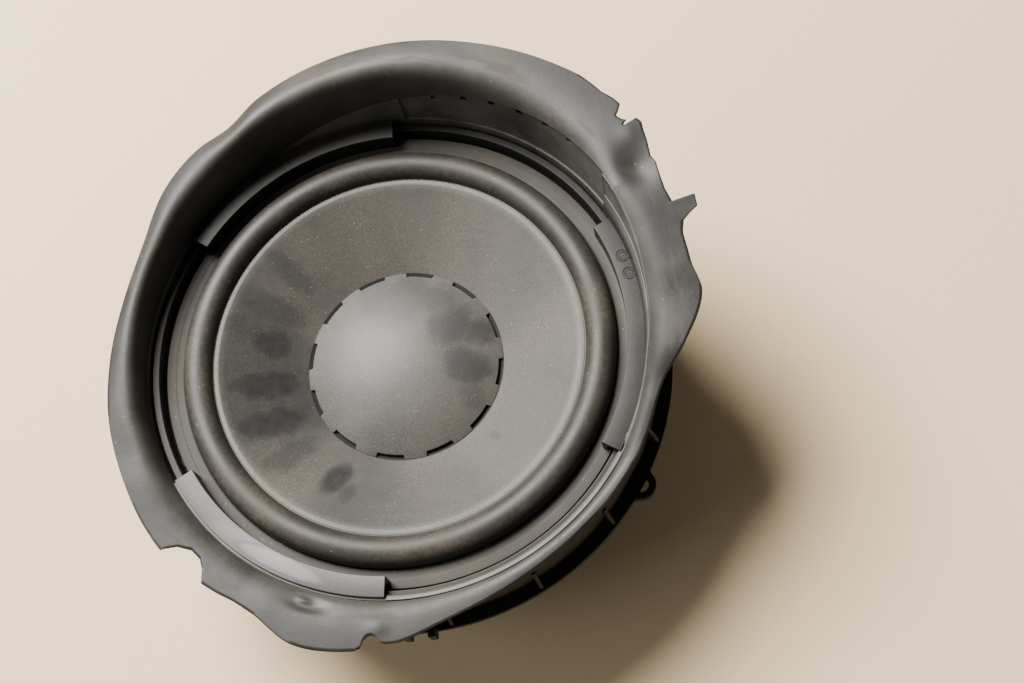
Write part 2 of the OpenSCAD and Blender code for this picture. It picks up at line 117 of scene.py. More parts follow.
class Finish:
    """A material whose nodes are made by method calls."""

    def __init__(self, name):
        self.material = bpy.data.materials.new(name)
        self.material.use_nodes = True
        self.nodes, self.links = self.material.node_tree.nodes, self.material.node_tree.links
        self.shader = self.nodes["Principled BSDF"]
        self.place = self.node("ShaderNodeTexCoord", "Object")
        self.x, self.y, self.z = self.parts(self.place)

    def node(self, kind, out=0, settings=None, numbered=None, **named):
        """Any node: its settings first, then the values or links of its sockets, by number or by name."""
        made = self.nodes.new(kind)
        for key, value in (settings or {}).items():
            setattr(made, key, value)
        for key, value in (numbered or {}).items():
            self.feed(made.inputs[key], value)
        for key, value in named.items():
            self.feed(made.inputs[key.replace("_", " ")], value)
        if isinstance(out, tuple):
            return [Value(self, made.outputs[name]) for name in out]
        return Value(self, made.outputs[out])

    def feed(self, socket, value):
        if isinstance(value, Value):
            self.links.new(value.socket, socket)
        elif isinstance(value, tuple) and len(value) == 3 and socket.type == "RGBA":
            socket.default_value = (*value, 1)
        else:
            socket.default_value = value

    def maths(self, operation, *values):
        return self.node("ShaderNodeMath", 0, {"operation": operation}, dict(enumerate(values)))

    def parts(self, vector):
        return self.node("ShaderNodeSeparateXYZ", ("X", "Y", "Z"), Vector=vector)

    def facing(self):
        """The three parts of the direction that the surface faces."""
        return self.parts(self.node("ShaderNodeNewGeometry", "Normal"))

    def step(self, value, low, high):
        """0 below low, 1 above high and a soft rise between; it falls if low is above high."""
        return self.node("ShaderNodeMapRange", 0, {"interpolation_type": "SMOOTHSTEP"},
                         Value=value, From_Min=low, From_Max=high)

    def mix(self, share, first, second):
        """The second colour over the first; a Mix node takes its two colours at sockets 6 and 7."""
        return self.node("ShaderNodeMix", 2, {"data_type": "RGBA"}, {0: share, 6: first, 7: second})

    def noise(self, size, detail=3, rough=0.55, at=None):
        """Soft cloud from 0 to 1 whose lumps are about size metres across."""
        return self.node("ShaderNodeTexNoise", Vector=at or self.place, Scale=1 / size, Detail=detail,
                         Roughness=rough)

    def speckles(self, size, share):
        """Round grains about size metres across; share is how many of the cells hold one."""
        colour, far = self.node("ShaderNodeTexVoronoi", ("Color", "Distance"), Vector=self.place, Scale=1 / size)
        pick = self.node("ShaderNodeSeparateColor", Color=colour)
        return self.step(pick, 1 - share, 1 - share + 0.01) * self.step(far, 0.32, 0.12)

    def radius(self):
        return self.maths("SQRT", self.x * self.x + self.y * self.y)

    def turn(self):
        return self.maths("ARCTAN2", self.y, self.x)

    def toward(self, angle):
        """Cosine of the turn between here and an angle round the axis, in degrees."""
        turn = radians(angle)
        return (self.x * cos(turn) + self.y * sin(turn)) / self.radius()

    def inward(self):
        """1 where the surface faces the part's axis and 0 where it faces away."""
        nx, ny, _ = self.facing()
        return self.step((nx * self.x + ny * self.y) / self.radius(), 0.1, -0.3)

    def bump(self, height, depth, under=None):
        extra = {"Normal": under} if under else {}
        return self.node("ShaderNodeBump", Height=height, Distance=depth, Strength=1.0, **extra)

    def done(self, colour, roughness, normal=None, **plain):
        self.feed(self.shader.inputs["Base Color"], colour)
        self.feed(self.shader.inputs["Roughness"], roughness)
        if normal:
            self.feed(self.shader.inputs["Normal"], normal)
        for key, value in plain.items():
            self.feed(self.shader.inputs[key.replace("_", " ")], value)
        print("finish", self.material.name, "with", len(self.nodes), "nodes")
        return self.material


# %% [markdown]
# Old door plastic is never one colour: it has a fine moulded grain and a veil of brownish dust on what
# faces up. One function lays that dust over any base colour, so that all pieces share the same air.

# %% Dust
DUST = (0.115, 0.092, 0.064)
LINT = (0.42, 0.36, 0.28)


def dusty(finish, colour, amount, lint=0.03):
    """The colour under a veil of dust: amount is the most that it hides, lint the share of pale specks."""
    up = finish.facing()[2]
    patches = finish.step(finish.noise(0.035, 5, 0.65), 0.36, 0.72)
    fine = finish.step(finish.noise(0.0016, 2), 0.35, 0.7)
    veil = finish.step(up, -0.1, 0.9) * (patches * 0.75 + 0.25) * (fine * 0.5 + 0.5) * amount
    specks = finish.speckles(0.0013, lint) * finish.step(up, 0.2, 0.8)
    return finish.mix(specks * 0.45, finish.mix(veil, colour, DUST), LINT), veil


def moulded(name, colour, rough, dust):
    """Fine-grained plastic whose shade drifts a little."""
    finish = Finish(name)
    shade = finish.noise(0.05, 4, 0.6)
    base = finish.mix(finish.step(shade, 0.3, 0.75), colour, tuple(c * 1.5 + 0.008 for c in colour))
    dusted, veil = dusty(finish, base, dust)
    skin = finish.bump(finish.noise(0.0009, 3, 0.7), 0.00006)
    return finish.done(dusted, rough + veil * 0.3 - finish.step(shade, 0.55, 0.8) * 0.08, skin)


# %% [markdown]
# The cone is a thin moulding filled with mineral, smooth and a little chalky. Fingers or drops of oil have
# left dark blotches on one side. They are a short list of soft ovals with ragged rims: angle round the
# axis, distance from it, half length along the radius, half width, and strength.

# %% Cone and dust cap finishes
CAP_TABS, SLOT_SPAN, SLOT_FROM = 12, 17.2, 21.8
# The last two ovals are broad and faint; they only make the cone darker towards its lower side.
CONE_BLOTCHES = [(157, 61, 15, 7, 0.55), (171, 57, 10, 7.5, 0.8), (176, 70, 8, 8, 0.4), (189, 59, 16, 8, 0.85),
                 (206, 60, 15, 8, 0.85), (221, 61, 13, 6, 0.5), (243, 57, 8, 5, 0.85),
                 (250, 61, 5, 4, 0.5), (140, 63, 11, 5, 0.35), (186, 60, 24, 34, 0.55), (318, 52, 3, 2, 0.4),
                 (277, 63, 17, 40, 0.22), (335, 60, 17, 24, 0.16)]
CAP_BLOTCHES = [(36, 25, 11, 9, 0.75), (352, 27, 10, 8, 0.7), (88, 33, 7, 11, 0.62), (20, 34, 7, 7, 0.7),
                (62, 31, 8, 10, 0.55), (330, 33, 6, 5, 0.35), (112, 36, 5, 9, 0.4), (98, 27, 13, 16, 0.5)]


def blotches(finish, spots, wobble):
    """The darkest of several soft ovals with ragged rims, from a list like the two above."""
    total = None
    for angle, far, half_long, half_wide, strength in spots:
        turn = radians(angle)
        along = finish.x * cos(turn) + finish.y * sin(turn) - far * MM
        across = finish.y * cos(turn) - finish.x * sin(turn)
        a, b = along / (half_long * MM), across / (half_wide * MM)
        mark = finish.step(a * a + b * b + wobble, 1.7, 0.1) * strength
        total = mark if total is None else total.op("MAXIMUM", mark)
    return total


def cone_finish():
    finish = Finish("mineral_cone")
    wobble = (finish.noise(0.012, 4, 0.65) - 0.5) * 2.2
    stain = blotches(finish, CONE_BLOTCHES, wobble) * (finish.noise(0.004, 3) * 0.5 + 0.75)
    cloud = finish.noise(0.04, 4, 0.6)
    base = finish.mix(finish.step(cloud, 0.3, 0.7), (0.050, 0.048, 0.045), (0.075, 0.071, 0.065))
    dusted, veil = dusty(finish, base, 0.38, 0.03)
    grain = finish.step(finish.noise(0.0008, 3, 0.8), 0.47, 0.66)
    grain = grain * finish.step(finish.noise(0.03, 4), 0.3, 0.62)
    dusted = finish.mix(grain * 0.6, dusted, (0.15, 0.13, 0.10))
    stained = finish.mix(stain, dusted, (0.018, 0.018, 0.018))
    # Under the cap's slots the cone is painted nearly black: painted shade of the gap below the cap's edge.
    pitches = finish.turn() / TAU * CAP_TABS - SLOT_FROM / 360 * CAP_TABS + 0.5
    off_middle = (pitches.op("FRACT") - 0.5).op("ABSOLUTE") * 2
    share = SLOT_SPAN * CAP_TABS / 360
    radius = finish.radius()
    under_edge = finish.step(radius, 0.0392, 0.0396) * finish.step(radius, 0.0419, 0.0415)
    painted_slot_shade = finish.step(off_middle, share + 0.02, share - 0.02) * under_edge
    colour = finish.mix(painted_slot_shade * 0.93, stained, (0.002, 0.002, 0.002))
    skin = finish.bump(finish.noise(0.0007, 3, 0.7), 0.00005)
    return finish.done(colour, 0.46 + veil * 0.3 - stain * 0.1 + painted_slot_shade * 0.3, skin)


def cap_finish():
    finish = Finish("mineral_cap")
    wobble = (finish.noise(0.009, 4, 0.65) - 0.5) * 2.2
    stain = blotches(finish, CAP_BLOTCHES, wobble)
    cloud = finish.noise(0.03, 4, 0.6)
    base = finish.mix(finish.step(cloud, 0.3, 0.7), (0.048, 0.046, 0.043), (0.074, 0.070, 0.064))
    dusted, veil = dusty(finish, base, 0.25, 0.02)
    grain = finish.step(finish.noise(0.0008, 3, 0.8), 0.47, 0.66)
    dusted = finish.mix(grain * 0.45, dusted, (0.14, 0.126, 0.10))
    colour = finish.mix(stain, dusted, (0.022, 0.022, 0.022))
    skin = finish.bump(finish.noise(0.0007, 3, 0.7), 0.00005)
    return finish.done(colour, 0.46 + veil * 0.3, skin)


cone_plastic = cone_finish()
cap_plastic = cap_finish()

# %% [markdown]
# The lip is a soft elastomer with a satin skin. Where it rolls over, it has been rubbed against the door
# trim and has caught brown dust in long streaks. The streaks are a noise that is stretched along the angle.

# %% Lip and other rubber finishes
def lip_finish():
    finish = Finish("lip_elastomer")
    radius, turn = finish.radius(), finish.turn()
    ribbon = finish.node("ShaderNodeCombineXYZ", X=turn * 0.02, Y=radius, Z=finish.z * 0.6)
    streaks = finish.step(finish.noise(0.0036, 4, 0.6, at=ribbon), 0.46, 0.68)
    patches = finish.step(finish.noise(0.034, 4, 0.65), 0.42, 0.62)
    crest = finish.step(radius, 0.106, 0.110) * finish.step(radius, 0.121, 0.114)
    rub = streaks * patches * crest
    crumbs = finish.step(finish.noise(0.0022, 4, 0.75), 0.52, 0.66) * finish.step(radius, 0.1115, 0.1055)
    cloud = finish.noise(0.03, 4, 0.6)
    base = finish.mix(finish.step(cloud, 0.3, 0.75), (0.012, 0.012, 0.012), (0.023, 0.0225, 0.0215))
    # The lip's left and lower-left side is painted darker: painted shade of the side that faces away from the lamp.
    painted_shade_left = blotches(finish, [(188, 113, 16, 40, 1.0), (232, 112, 14, 26, 0.9)], (cloud - 0.5) * 0.7)
    base = finish.mix(painted_shade_left * 0.8, base, (0.004, 0.004, 0.004))
    dusted, veil = dusty(finish, base, 0.24, 0.014)
    # Slopes near the root that face the axis are painted a paler grey: dust, and painted light that brightens these
    # shaded slopes.
    inner_dust_and_painted_fill = finish.step(radius, 0.112, 0.1075) * finish.inward() * finish.step(finish.noise(0.02, 3), 0.0, 0.9)
    soiled = finish.mix(crumbs * patches * 0.5, dusted, (0.09, 0.066, 0.04))
    soiled = finish.mix(inner_dust_and_painted_fill * 0.6, soiled, (0.10, 0.094, 0.083))
    colour = finish.mix(rub * 0.4, soiled, (0.125, 0.102, 0.074))
    skin = finish.bump(finish.noise(0.0011, 4, 0.7), 0.00004, finish.bump(finish.noise(0.02, 2), 0.00025))
    return finish.done(colour, 0.49 + veil * 0.3 + rub * 0.25 + crumbs * 0.1 + (cloud - 0.5) * 0.2, skin)


def rubber(name, colour, rough, dust):
    finish = Finish(name)
    dusted, veil = dusty(finish, colour, dust, 0.02)
    skin = finish.bump(finish.noise(0.0008, 3, 0.7), 0.00003)
    return finish.done(dusted, rough + veil * 0.4 + (finish.noise(0.02) - 0.5) * 0.12, skin)


# Where the wall's inner recess ends, in degrees
RECESS_END = 31.4
# Two tilted cuts shape the adapter's wall: (direction, height on the axis, rise at the wall)
WALL_CUTS = [(26, 35, 28), (56, 28, 40)]
lip_rubber = lip_finish()
roll_rubber = rubber("roll_rubber", (0.015, 0.0145, 0.014), 0.46, 0.55)
seal_rubber = rubber("seal_rubber", (0.020, 0.020, 0.020), 0.6, 0.2)


def adapter_finish():
    """Talc-filled plastic; one arc is made smoother and painted pale grey, a painted highlight where it mirrors the
    lamp.
    """
    finish = Finish("adapter_plastic")
    radius = finish.radius()
    cloud = finish.noise(0.04, 4, 0.6)
    base = finish.mix(finish.step(cloud, 0.3, 0.75), (0.013, 0.013, 0.0135), (0.026, 0.026, 0.026))
    dusted, veil = dusty(finish, base, 0.30, 0.012)
    inside = finish.step(radius, 0.1015, 0.1025) * finish.step(radius, 0.1047, 0.1043)
    # The recess inside the wall is painted pale dusty grey in patches: dust, and painted light that brightens this
    # shaded recess.
    dusted = finish.mix(inside * finish.step(cloud, 0.15, 0.7) * 0.85, dusted, (0.21, 0.197, 0.175))
    # A thin line where the recess ends is painted nearly black: painted shadow in that step.
    painted_step_shadow = finish.step((finish.turn() - radians(RECESS_END)).op("ABSOLUTE"), 0.006, 0.003) * inside
    dusted = finish.mix(painted_step_shadow * 0.9, dusted, (0.002, 0.002, 0.002))
    # Painted highlight on the lower-left arc: a pale patch, a paler flow mark and a darker ring along that mark.
    patch = blotches(finish, [(238, 98, 5, 22, 0.8)], (finish.noise(0.012, 4, 0.6) - 0.5) * 1.6)
    flow = blotches(finish, [(244, 97.5, 3.2, 19, 1.0)], (finish.noise(0.02, 2) - 0.5) * 0.3)
    ring = finish.step(flow, 0.02, 0.2) * finish.step(flow, 0.7, 0.35)
    pale = finish.mix(patch, (0.095, 0.094, 0.093), (0.165, 0.163, 0.16))
    pale = finish.mix(flow * 0.6, pale, (0.30, 0.297, 0.29))
    pale = finish.mix(ring * 0.5, pale, (0.07, 0.068, 0.065))
    # A thin pale line along the wall's rim inside is a painted highlight on the rim's edge.
    cuts = [mid * MM + finish.toward(face) * (rise * MM) for face, mid, rise in WALL_CUTS]
    from_rim = (finish.z - cuts[0].op("MINIMUM", cuts[1])).op("ABSOLUTE")
    painted_rim_highlight = finish.step(from_rim, 0.0007, 0.0002) * (finish.noise(0.004, 3) * 0.7 + 0.3) * inside
    on_arc = finish.step(finish.z, 0.0322, 0.0327) * finish.step(radius, 0.1023, 0.1020)
    painted_highlight_arc = on_arc * finish.step(finish.toward(240), 0.86, 0.875)
    # The wall's outer face is painted nearly black, which is painted shade, and is made rougher.
    painted_shade_outside = finish.step(radius, 0.1045, 0.1052)
    colour = finish.mix(painted_highlight_arc * 0.9, finish.mix(painted_rim_highlight * 0.45, dusted, (0.12, 0.112, 0.098)), pale)
    colour = finish.mix(painted_shade_outside * 0.6, colour, (0.004, 0.004, 0.004))
    rough = 0.46 + veil * 0.3 - painted_highlight_arc * 0.12 + painted_shade_outside * 0.25
    return finish.done(colour, rough, finish.bump(finish.noise(0.0009, 3, 0.7), 0.00004), Specular_IOR_Level=0.28)


adapter_plastic = adapter_finish()
basket_plastic = moulded("basket_plastic", (0.024, 0.024, 0.025), 0.5, 0.15)
board = moulded("landing_board", (0.024, 0.022, 0.020), 0.62, 0.5)
block_nylon = moulded("block_nylon", (0.012, 0.012, 0.013), 0.42, 0.08)
glue = moulded("seam_glue", (0.13, 0.115, 0.09), 0.5, 0.3)

# %% [markdown]
# The motor is bare metal and ferrite. Turned steel shows fine rings from the tool and a thin zinc layer
# that has gone patchy. Ferrite is a dark ceramic with small chips. Copper wire shows its turns, and the
# spider its weave.

# %% Metal, ferrite, cloth and wire finishes
def turned(name, colour, rough, ring=0.0006):
    """Metal with the rings that a lathe leaves round the part's axis."""
    finish = Finish(name)
    across = finish.node("ShaderNodeCombineXYZ", X=finish.radius(), Y=finish.z)
    rings = finish.noise(ring, 2, at=across)
    patch = finish.step(finish.noise(0.012, 5, 0.7), 0.35, 0.75)
    shade = finish.mix(patch * 0.7, colour, tuple(c * 0.45 for c in colour))
    return finish.done(shade, rough + patch * 0.2 + rings * 0.1, finish.bump(rings, 0.00002), Metallic=1.0)


def ferrite_finish():
    finish = Finish("ferrite")
    grain = finish.noise(0.0012, 4, 0.75)
    chips = finish.speckles(0.0035, 0.12)
    base = finish.mix(grain, (0.018, 0.017, 0.017), (0.05, 0.047, 0.045))
    dusted, veil = dusty(finish, base, 0.2)
    return finish.done(finish.mix(chips * 0.5, dusted, (0.11, 0.1, 0.095)), 0.6 + veil * 0.3 - chips * 0.2,
                       finish.bump(grain - chips, 0.00012))


def wound(name, colour, pitch, rough=0.35):
    """Wire in close turns round the part's axis, one every pitch metres along it."""
    finish = Finish(name)
    turns = finish.maths("SINE", finish.z * (TAU / pitch))
    # The colour darkens in the grooves between turns: painted shade.
    return finish.done(finish.mix(turns * 0.5 + 0.5, tuple(c * 0.4 for c in colour), colour),
                       rough + turns * 0.08, finish.bump(turns, pitch * 0.2), Metallic=1.0)


def woven(name, colour, thread):
    """Plain weave on X and Y, threads thread metres apart."""
    finish = Finish(name)
    wave = TAU / (2 * thread)
    over, under = finish.maths("SINE", finish.x * wave), finish.maths("SINE", finish.y * wave)
    weave = over * under
    shade = finish.step(weave + (finish.noise(0.0006, 2) - 0.5) * 0.8, -0.9, 0.9)
    return finish.done(finish.mix(shade, tuple(c * 0.45 for c in colour), colour), 0.75 + (1 - shade) * 0.1,
                       finish.bump(weave, thread * 0.25), Sheen_Weight=0.2)


def film_finish():
    finish = Finish("amber_film")
    cloud = finish.noise(0.006, 3)
    return finish.done(finish.mix(cloud, (0.42, 0.2, 0.03), (0.6, 0.33, 0.07)), 0.25 + cloud * 0.1,
                       finish.bump(cloud, 0.00002), Coat_Weight=0.4)


steel = turned("zinc_steel", (0.56, 0.55, 0.51), 0.34)
copper = turned("copper_sleeve", (0.72, 0.36, 0.2), 0.3)
brass = turned("brass", (0.66, 0.5, 0.22), 0.32)
tin = turned("tinned_brass", (0.62, 0.59, 0.5), 0.28, 0.0009)
ferrite = ferrite_finish()
wire = wound("coil_wire", (0.7, 0.27, 0.1), 0.00045)
cloth = woven("spider_cloth", (0.45, 0.27, 0.085), 0.0007)
mesh_steel = woven("screen_mesh", (0.3, 0.3, 0.3), 0.0005)
braid = woven("lead_braid", (0.5, 0.27, 0.11), 0.0004)
amber_film = film_finish()

# %% [markdown]
# Nearly every piece of a loudspeaker is turned round one axis, so most meshes come from one helper. It
# takes a closed outline in radius and height and carries it round. The outline may change with the angle,
# which the sealing lip needs.

# %% Helpers for round pieces
def rounded(corners, size=0.4, steps=3):
    """The outline with each corner cut by a small curve; corners are (radius, height) in mm, size too."""
    out = []
    for i, here in enumerate(corners):
        before, after = Vector(corners[i - 1]), Vector(corners[(i + 1) % len(corners)])
        here = Vector(here)
        back, on = before - here, after - here
        reach = min(size, back.length * 0.45, on.length * 0.45)
        a, b = here + back.normalized() * reach, here + on.normalized() * reach
        for k in range(steps + 1):
            t = k / steps
            out.append(tuple((1 - t) ** 2 * a + 2 * t * (1 - t) * here + t * t * b))
    return out


def finished(name, mesh, material, body, nodes=(), sharp=40):
    """Puts a mesh into the scene as a piece, smooth but for its folds, on the body that carries it."""
    mesh.polygons.foreach_set("use_smooth", [True] * len(mesh.polygons))
    mesh.set_sharp_from_angle(angle=radians(sharp))
    mesh.materials.clear()
    mesh.materials.append(material)
    obj = shown(bpy.data.objects.new(name, mesh))
    if body:
        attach(obj, body)
    if nodes:
        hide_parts(*nodes)
    print("piece", name, len(mesh.polygons), "faces")
    return obj


def plain_mesh(name, points, faces):
    mesh = bpy.data.meshes.new(name)
    mesh.from_pydata(points, [], faces)
    return mesh


def worked(mesh, work):
    """Runs work(bmesh) on a mesh, in place."""
    shell = bmesh.new()
    shell.from_mesh(mesh)
    work(shell)
    shell.to_mesh(mesh)
    shell.free()
    return mesh


def close_up(shell):
    """Merges doubles, drops loose edges and turns the faces outwards."""
    bmesh.ops.remove_doubles(shell, verts=shell.verts, dist=1e-7)
    bmesh.ops.delete(shell, geom=[e for e in shell.edges if not e.link_faces], context="EDGES")
    bmesh.ops.recalc_face_normals(shell, faces=shell.faces)


def swept(name, section, angles, closed=True):
    """A mesh from section(angle) -> [(radius, height) in mm] at each angle in degrees, closed both ways."""
    rings = [section(a) for a in angles]
    per, count = len(rings[0]), len(rings)
    turns = [radians(a) for a in angles]
    points = [(r * MM * cos(t), r * MM * sin(t), z * MM) for t, ring in zip(turns, rings) for r, z in ring]
    faces = []
    for i in range(count if closed else count - 1):
        here, there = i * per, (i + 1) % count * per
        faces += [(here + j, there + j, there + (j + 1) % per, here + (j + 1) % per) for j in range(per)]
    if not closed:
        faces += [tuple(range(per)), tuple(reversed(range(len(points) - per, len(points))))]
    return worked(plain_mesh(name, points, faces), close_up)


def turned_mesh(name, outline, steps=256, start=0.0, span=360.0):
    parts = max(2, round(steps * span / 360))
    angles = [start + span * i / parts for i in range(parts + (span < 360))]
    return swept(name, lambda angle: outline, angles, closed=span == 360)


# %% [markdown]
# The sealing lip is a bell of elastomer moulded onto the rim of the adapter's wall: it swells outwards and
# rolls over to a thin free edge. The edge follows the pocket in one particular door, with lobes, a fin,
# notches and one torn stretch. It could be carved from a solid, but a section that is worked out at each
# angle gives an even wall and clean curvature.

# %% Shape of the lip
WALL_R = 106.0
WALL_T = 2.7
LIP_EDGE = [
    (-14, 110.5, 46), (-7, 117, 53), (2, 124, 57), (8, 121.5, 60), (24, 122, 65), (36, 127.5, 67),
    (43, 127.5, 67.5), (55.5, 124.8, 68), (69, 122.2, 68), (85.9, 119.9, 66.5), (103.4, 118.6, 62),
    (118, 117.2, 57), (125.2, 114.5, 55), (134.4, 117.3, 52), (144.6, 116.6, 50), (156.6, 112.4, 47.5),
    (168.6, 112.2, 45.5), (181.5, 114.4, 44), (194.4, 116.8, 43), (207.4, 118.5, 41.5), (220, 120.5, 39.5),
    (232, 118.5, 38.5), (244, 119, 38), (253, 124.5, 37), (262, 123.5, 36), (272, 119.5, 35), (281, 114, 34.5),
    (290, 111, 34), (300, 109, 33.5), (312, 108.2, 33.5), (326, 109, 34.5), (335, 109.6, 38)]
# Sharp features of the free edge as (angle, change of reach in mm) runs
FIN = [(12.6, 0), (13.4, 0.2), (15.2, 1.8), (16.1, 4.8), (16.9, 8.6), (19.0, 9.2), (19.2, 0.2), (22, -0.6),
       (25, -0.3), (28, 0)]
TEAR = [(27.5, 0), (28.9, -1.2), (30.5, -0.9), (32.1, -0.4), (33.5, -0.2), (35.2, 0.8), (36.3, 0), (36.5, -5.6),
        (36.9, -5.8), (37.2, -3.6), (37.9, -4.9), (39.1, -5.6), (39.6, -3.5), (40.4, -0.9), (42.1, -0.8),
        (44.6, -1.5), (47, -0.8), (50, 0)]
CORNER_NOTCH = [(219, 0), (222.6, 0.6), (222.9, -0.8), (224.4, -4.7), (226.9, -6.9), (229.4, -6.1),
                (231.2, -3.4), (232.4, -0.2), (232.9, 1.0), (236.4, 0.7), (240, 0)]
ROUND_NOTCH = [(264.2, 0), (265.2, -0.8), (265.5, -3.2), (266.2, -4.8), (267.0, -5.0), (267.8, -4.0),
               (268.8, -1.4), (269.9, -0.7), (272, 0)]
EDGE_MARKS = [FIN, TEAR, CORNER_NOTCH, ROUND_NOTCH]
# How far the section rolls over as (angle, share): 0 is a straight flare and 1 a quarter turn
LIP_ROLL = [(-14, 0.4), (12, 0.4), (26, 0.5), (45, 0.6), (75, 0.8), (95, 1), (180, 1), (205, 0.8), (222, 0.5),
            (240, 0.35), (255, 0.5), (290, 0.5), (346, 0.4)]
WALL_LOW = 31.0


def wall_rim(angle):
    """Height of the adapter wall's rim, which two tilted cuts give."""
    return max(WALL_LOW, min(mid + rise * cos(radians(angle - top)) for top, mid, rise in WALL_CUTS))


def periodic(angle, column):
    """Smooth curve through the edge's points (Catmull-Rom over uneven steps)."""
    turn = (angle + 14) % 360 - 14
    count = len(LIP_EDGE)
    i = max(k for k in range(count) if LIP_EDGE[k][0] <= turn + 1e-9)
    at = [LIP_EDGE[(i + k) % count][0] + 360 * ((i + k) // count) for k in (-1, 0, 1, 2)]
    v = [LIP_EDGE[(i + k) % count][column] for k in (-1, 0, 1, 2)]
    span = at[2] - at[1]
    t = (turn - at[1]) / span
    m1, m2 = (v[2] - v[0]) / (at[2] - at[0]) * span, (v[3] - v[1]) / (at[3] - at[1]) * span
    return ((2 * t ** 3 - 3 * t * t + 1) * v[1] + (t ** 3 - 2 * t * t + t) * m1
            + (3 * t * t - 2 * t ** 3) * v[2] + (t ** 3 - t * t) * m2)


def between(angle, run):
    """Straight-line value of a run of (angle, value) points."""
    return float(np.interp((angle + 14) % 360 - 14, [p[0] for p in run], [p[1] for p in run]))


LIP_STEPS = 1080
LIP_BANDS = 26
ROOT_T, EDGE_T = 2.7, 1.5
FINE = 60


def lip_line(angle):
    """Middle of the lip's wall at one angle, from the wall's rim to the free edge, in mm."""
    root = Vector((WALL_R - WALL_T / 2, wall_rim(angle) + 0.2))
    edge = Vector((periodic(angle, 1) - 0.5, periodic(angle, 2) - EDGE_T / 2))
    run, rise = edge - root
    roll = between(angle, LIP_ROLL)
    pull_up = root + Vector((0.3 * (1 - roll) * run, rise * (0.36 + 0.79 * roll)))
    pull_in = edge - Vector(((0.36 + 0.57 * roll) * run, rise * (0.3 - 0.52 * roll)))
    path = []
    for k in range(FINE + 1):
        t = k / FINE
        near, away = root.lerp(pull_up, t).lerp(pull_up.lerp(pull_in, t), t), pull_in.lerp(edge, t)
        path.append(near.lerp(pull_up.lerp(pull_in, t).lerp(away, t), t))
    far = [0]
    for a, b in zip(path, path[1:]):
        far.append(far[-1] + (b - a).length)
    change = sum(between(angle, run_of) for run_of in EDGE_MARKS)
    if change > 0:
        path.append(edge + (path[-1] - path[-3]).normalized() * change)
        far.append(far[-1] + change)
    whole, limit = far[FINE], far[-1] if change > 0 else far[-1] + change
    line = []
    for k in range(LIP_BANDS + 1):
        # A notch trims the wall and leaves the rest of it alone; a fin only lengthens the outermost bands
        at = whole * k / LIP_BANDS
        if change < 0:
            at = min(at, limit - 0.04 * (LIP_BANDS - k))
        elif change > 0:
            at += change * max(0, k / LIP_BANDS * 5 - 4)
        line.append(Vector(float(np.interp(at, far, [point[axis] for point in path])) for axis in (0, 1)))
    return line


def lip_section(angle):
    line = lip_line(angle)
    inner, outer = [], []
    for k, p in enumerate(line):
        along = (line[min(k + 1, LIP_BANDS)] - line[max(k - 1, 0)]).normalized()
        side = Vector((-along.y, along.x))
        half = (ROOT_T + (EDGE_T - ROOT_T) * (k / LIP_BANDS)) / 2
        inner.append(p + side * half)
        outer.append(p - side * half)
    tip = line[-1] + (line[-1] - line[-2]).normalized() * EDGE_T * 0.4
    return [tuple(p) for p in inner + [tip] + outer[::-1]]


lip_angles = sorted({round(i * 360 / LIP_STEPS, 2) for i in range(LIP_STEPS)}
                    | {round(p[0] % 360, 2) for run in EDGE_MARKS for p in run})
lip_mesh = swept("lip", lip_section, lip_angles)
print("lip", len(lip_mesh.vertices), "points")

# %% [markdown]
# Something in the door has pressed dents into the lip. They are moved into the finished mesh, both skins
# together, so the wall keeps its thickness. Each is (angle, distance from the axis, half length round the
# ring, half width, depth) in degrees and mm.

# %% Dents in the lip
DENTS = [(28.5, 116, 8, 6.5, 2.6), (34.5, 121, 5, 4, -0.6), (254, 108.5, 8, 3, 1.7), (252.5, 107.8, 3, 1.2, -1.1),
         (268, 114, 4, 3.5, -0.5), (128, 113, 9, 8, 0.8), (346, 108, 6, 5, 0.6), (203, 112, 10, 6, 0.5),
         (70, 116, 14, 6, 0.4)]


def press_dents(mesh):
    co = np.empty(len(mesh.vertices) * 3)
    mesh.vertices.foreach_get("co", co)
    co = co.reshape(-1, 3)
    radius = np.hypot(co[:, 0], co[:, 1]) / MM
    for angle, far, half_long, half_wide, depth in DENTS:
        turn = (np.degrees(np.arctan2(co[:, 1], co[:, 0])) - angle + 180) % 360 - 180
        along = np.radians(turn) * far / half_long
        share = np.exp(-(along ** 2 + ((radius - far) / half_wide) ** 2))
        co[:, 2] -= depth * MM * share
    mesh.vertices.foreach_set("co", co.ravel())
    mesh.update()


press_dents(lip_mesh)
lip = finished("sealing_lip_skin", lip_mesh, lip_rubber, "housing", ["sealing_lip"], sharp=50)

# %% [markdown]
# Ribs, hooks, ears, spokes and screws repeat round the axis. A real mould has one cutter for each and
# indexes it round. Geometry Nodes does the same: one tree turns a template by a start angle and a step, as
# often as the count says, and the result is baked to a mesh.

# %% Helpers for repeats and slabs
def slab(name, outline, width, edge=0.25):
    """An outline of (radius, height) in mm made width mm thick along Y, with small round edges."""
    count = len(outline)
    points = [(r * MM, side * width / 2 * MM, z * MM) for side in (-1, 1) for r, z in outline]
    faces = [tuple(reversed(range(count))), tuple(range(count, 2 * count))]
    faces += [(j, (j + 1) % count, count + (j + 1) % count, count + j) for j in range(count)]

    def soften(shell):
        bmesh.ops.recalc_face_normals(shell, faces=shell.faces)
        bmesh.ops.bevel(shell, geom=shell.edges[:], offset=edge * MM, segments=2, profile=0.5, affect="EDGES")
    return worked(plain_mesh(name, points, faces), soften)


def joined(name, *meshes):
    def gather(shell):
        for mesh in meshes:
            shell.from_mesh(mesh)
    return worked(bpy.data.meshes.new(name), gather)


def baked(name, data, build=None):
    """The mesh that an object shows, once build(object) has given it its modifiers."""
    draft = shown(bpy.data.objects.new(name, data))
    if build:
        build(draft)
    shaped = bpy.data.meshes.new_from_object(draft.evaluated_get(bpy.context.evaluated_depsgraph_get()))
    bpy.data.objects.remove(draft)
    return shaped


